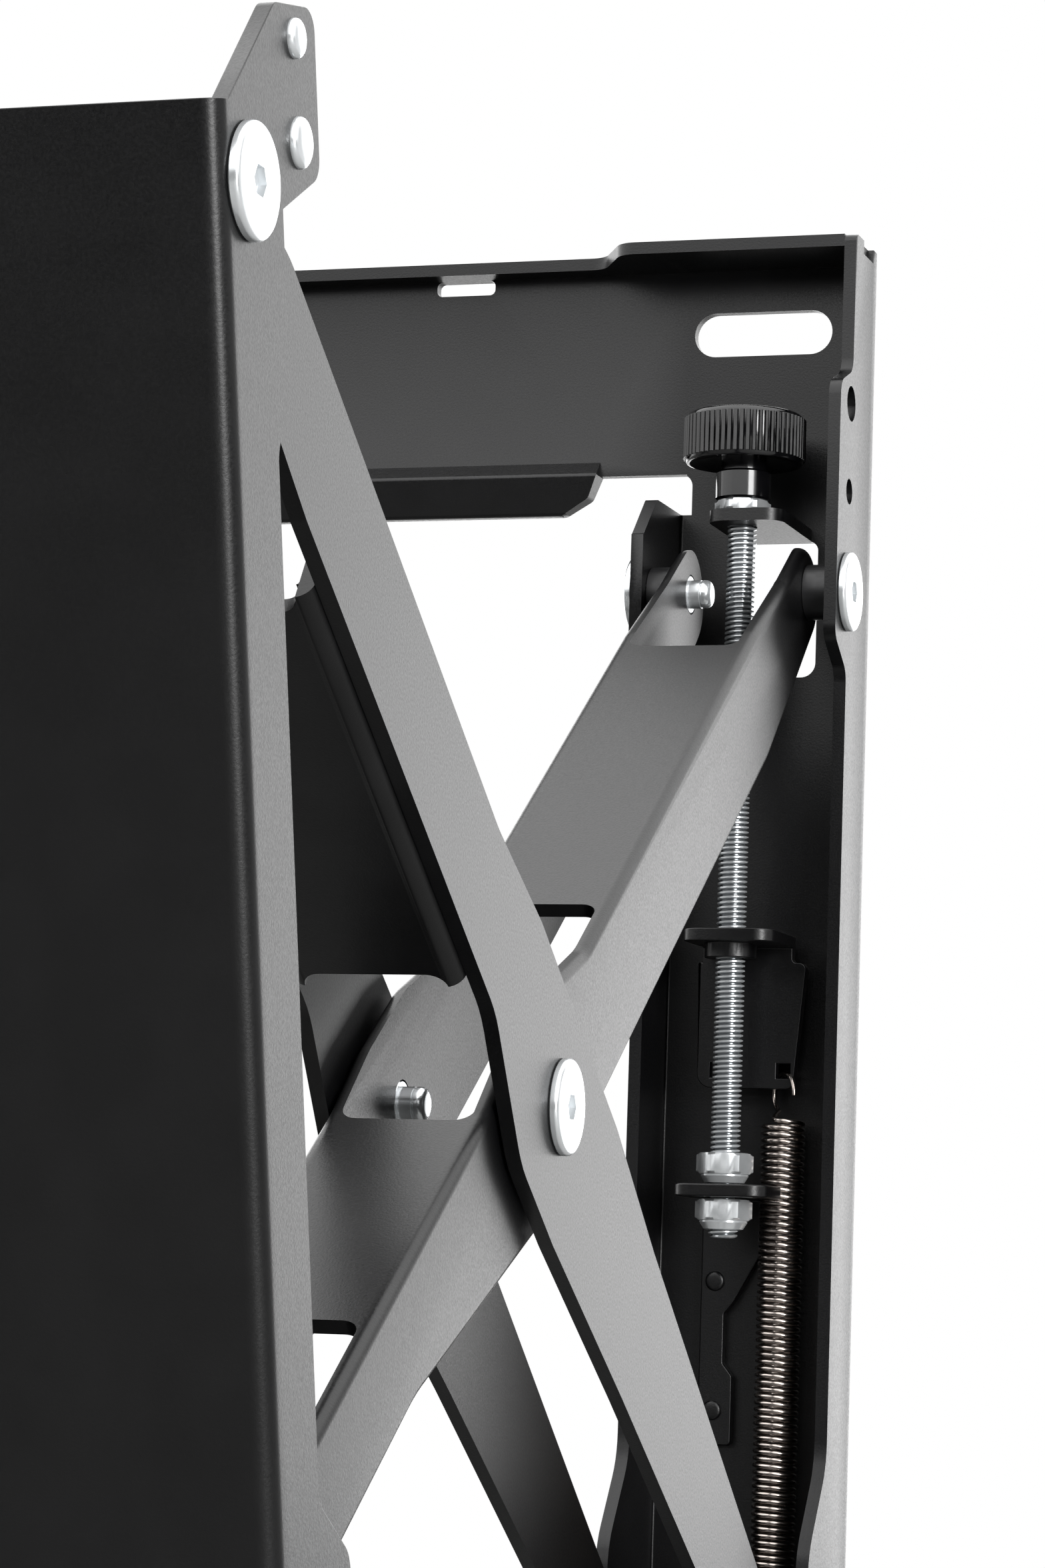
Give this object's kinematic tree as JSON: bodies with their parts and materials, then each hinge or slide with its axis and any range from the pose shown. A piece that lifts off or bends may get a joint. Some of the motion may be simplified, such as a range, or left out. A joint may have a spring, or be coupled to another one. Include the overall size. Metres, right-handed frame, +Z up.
{
  "type": "pop-out video wall mount",
  "caption": "Black steel wall mount whose front frame pops out on two sprung scissor arms, with knob-set spring carriages.",
  "frame": {"origin": "on the wall face, at the centre of the wall frame's four bolt slots", "axes": "+Z up, +Y into the wall, +X along the mount's width; the screen side faces -Y"},
  "size_m": [0.6046, 0.3705, 0.5],
  "materials": {
    "powder_coat": "fine-texture black powder coat",
    "zinc": "bright zinc plate",
    "black_plastic": "moulded black nylon",
    "black_bush": "black acetal",
    "spring_steel": "oiled spring steel"
  },
  "bodies": {
    "wall_frame": {"wall_top_rail": "powder_coat", "wall_bottom_rail": "powder_coat", "wall_rail_right": "powder_coat", "rod_foot_right": "powder_coat", "foot_rivets_right": "powder_coat", "wall_pivot_bolts_right": "zinc", "wall_pivot_spacers_right": "black_bush", "wall_rail_left": "powder_coat", "rod_foot_left": "powder_coat", "foot_rivets_left": "powder_coat", "wall_pivot_bolts_left": "zinc", "wall_pivot_spacers_left": "black_bush"},
    "front_frame": {"front_top_rail": "powder_coat", "front_bottom_rail": "powder_coat", "front_rail_right": "powder_coat", "ear_pins_right": "zinc", "front_pivot_bolts_right": "zinc", "front_pivot_spacers_right": "black_bush", "front_rail_left": "powder_coat", "ear_pins_left": "zinc", "front_pivot_bolts_left": "zinc", "front_pivot_spacers_left": "black_bush"},
    "inner_arm_body_right": {"inner_arm_right": "powder_coat", "front_slide_axle_right": "zinc", "front_slide_spacers_right": "black_bush"},
    "outer_arm_body_right": {"outer_arm_right": "powder_coat", "mid_pivot_bolts_right": "zinc", "wall_slide_axle_right": "zinc", "wall_slide_spacers_right": "black_bush"},
    "rod_body_right": {"threaded_rod_right": "zinc", "adjusting_knob_right": "black_plastic", "jam_nut_right": "zinc", "lock_nuts_right": "zinc"},
    "carriage_body_right": {"spring_carriage_right": "powder_coat"},
    "spring_body_right": {"spring_right": "spring_steel"},
    "slide_block_body_right": {"slide_block_right": "black_bush"},
    "inner_arm_body_left": {"inner_arm_left": "powder_coat", "front_slide_axle_left": "zinc", "front_slide_spacers_left": "black_bush"},
    "outer_arm_body_left": {"outer_arm_left": "powder_coat", "mid_pivot_bolts_left": "zinc", "wall_slide_axle_left": "zinc", "wall_slide_spacers_left": "black_bush"},
    "rod_body_left": {"threaded_rod_left": "zinc", "adjusting_knob_left": "black_plastic", "jam_nut_left": "zinc", "lock_nuts_left": "zinc"},
    "carriage_body_left": {"spring_carriage_left": "powder_coat"},
    "spring_body_left": {"spring_left": "spring_steel"},
    "slide_block_body_left": {"slide_block_left": "black_bush"}
  },
  "joints": [
    {"name": "fold_right", "type": "hinge", "parent": "wall_frame", "child": "inner_arm_body_right", "pos_m": [0.2785, -0.022, 0.176], "axis": [1, 0, 0], "range_deg": [0, 50.55]},
    {"name": "cross_right", "type": "hinge", "parent": "inner_arm_body_right", "child": "outer_arm_body_right", "pos_m": [0.2785, -0.19022, 0.06381], "axis": [1, 0, 0], "range_deg": [-101.15, 0.05]},
    {"name": "front_tip", "type": "hinge", "parent": "outer_arm_body_right", "child": "front_frame", "pos_m": [0.2785, -0.35844, 0.176], "axis": [1, 0, 0], "range_deg": [-0.05, 38]},
    {"name": "slide_turn_right", "type": "hinge", "parent": "outer_arm_body_right", "child": "slide_block_body_right", "pos_m": [0.2785, -0.022, -0.04838], "axis": [1, 0, 0], "range_deg": [-0.05, 50.6]},
    {"name": "knob_turn_right", "type": "hinge", "parent": "wall_frame", "child": "rod_body_right", "pos_m": [0.2775, -0.0205, 0.176], "axis": [0, 0, 1], "range_deg": [-4325, 3605]},
    {"name": "carriage_travel_right", "type": "slide", "parent": "wall_frame", "child": "carriage_body_right", "axis": [0, 0, 1], "range_m": [-0.01, 0.012]},
    {"name": "spring_stretch_right", "type": "slide", "parent": "carriage_body_right", "child": "spring_body_right", "axis": [0, 0, -1], "range_m": [-0.0002, 0.1783], "deforming": ["spring_right"]},
    {"name": "fold_left", "type": "hinge", "parent": "wall_frame", "child": "inner_arm_body_left", "pos_m": [-0.2785, -0.022, 0.176], "axis": [1, 0, 0], "range_deg": [-0.05, 50.6]},
    {"name": "cross_left", "type": "hinge", "parent": "inner_arm_body_left", "child": "outer_arm_body_left", "pos_m": [-0.2785, -0.19022, 0.06381], "axis": [1, 0, 0], "range_deg": [-101.15, 0.05]},
    {"name": "slide_turn_left", "type": "hinge", "parent": "outer_arm_body_left", "child": "slide_block_body_left", "pos_m": [-0.2785, -0.022, -0.04838], "axis": [1, 0, 0], "range_deg": [-0.05, 50.6]},
    {"name": "knob_turn_left", "type": "hinge", "parent": "wall_frame", "child": "rod_body_left", "pos_m": [-0.2775, -0.0205, 0.176], "axis": [0, 0, 1], "range_deg": [-4325, 3605]},
    {"name": "carriage_travel_left", "type": "slide", "parent": "wall_frame", "child": "carriage_body_left", "axis": [0, 0, 1], "range_m": [-0.01, 0.012]},
    {"name": "spring_stretch_left", "type": "slide", "parent": "carriage_body_left", "child": "spring_body_left", "axis": [0, 0, -1], "range_m": [-0.0002, 0.1783], "deforming": ["spring_left"]}
  ],
  "couplings": [
    {"joint": "cross_right", "follows": "fold_right", "ratio": -2},
    {"joint": "front_tip", "follows": "fold_right", "ratio": 0.75075},
    {"joint": "slide_turn_right", "follows": "fold_right", "ratio": 1},
    {"joint": "spring_stretch_right", "follows": "fold_right", "m_per_rad": 0.20173},
    {"joint": "knob_turn_right", "follows": "carriage_travel_right", "rad_per_m": -6283.2},
    {"joint": "fold_left", "follows": "fold_right", "ratio": 1},
    {"joint": "cross_left", "follows": "fold_right", "ratio": -2},
    {"joint": "slide_turn_left", "follows": "fold_right", "ratio": 1},
    {"joint": "spring_stretch_left", "follows": "fold_right", "m_per_rad": 0.20173},
    {"joint": "knob_turn_left", "follows": "carriage_travel_left", "rad_per_m": -6283.2}
  ]
}
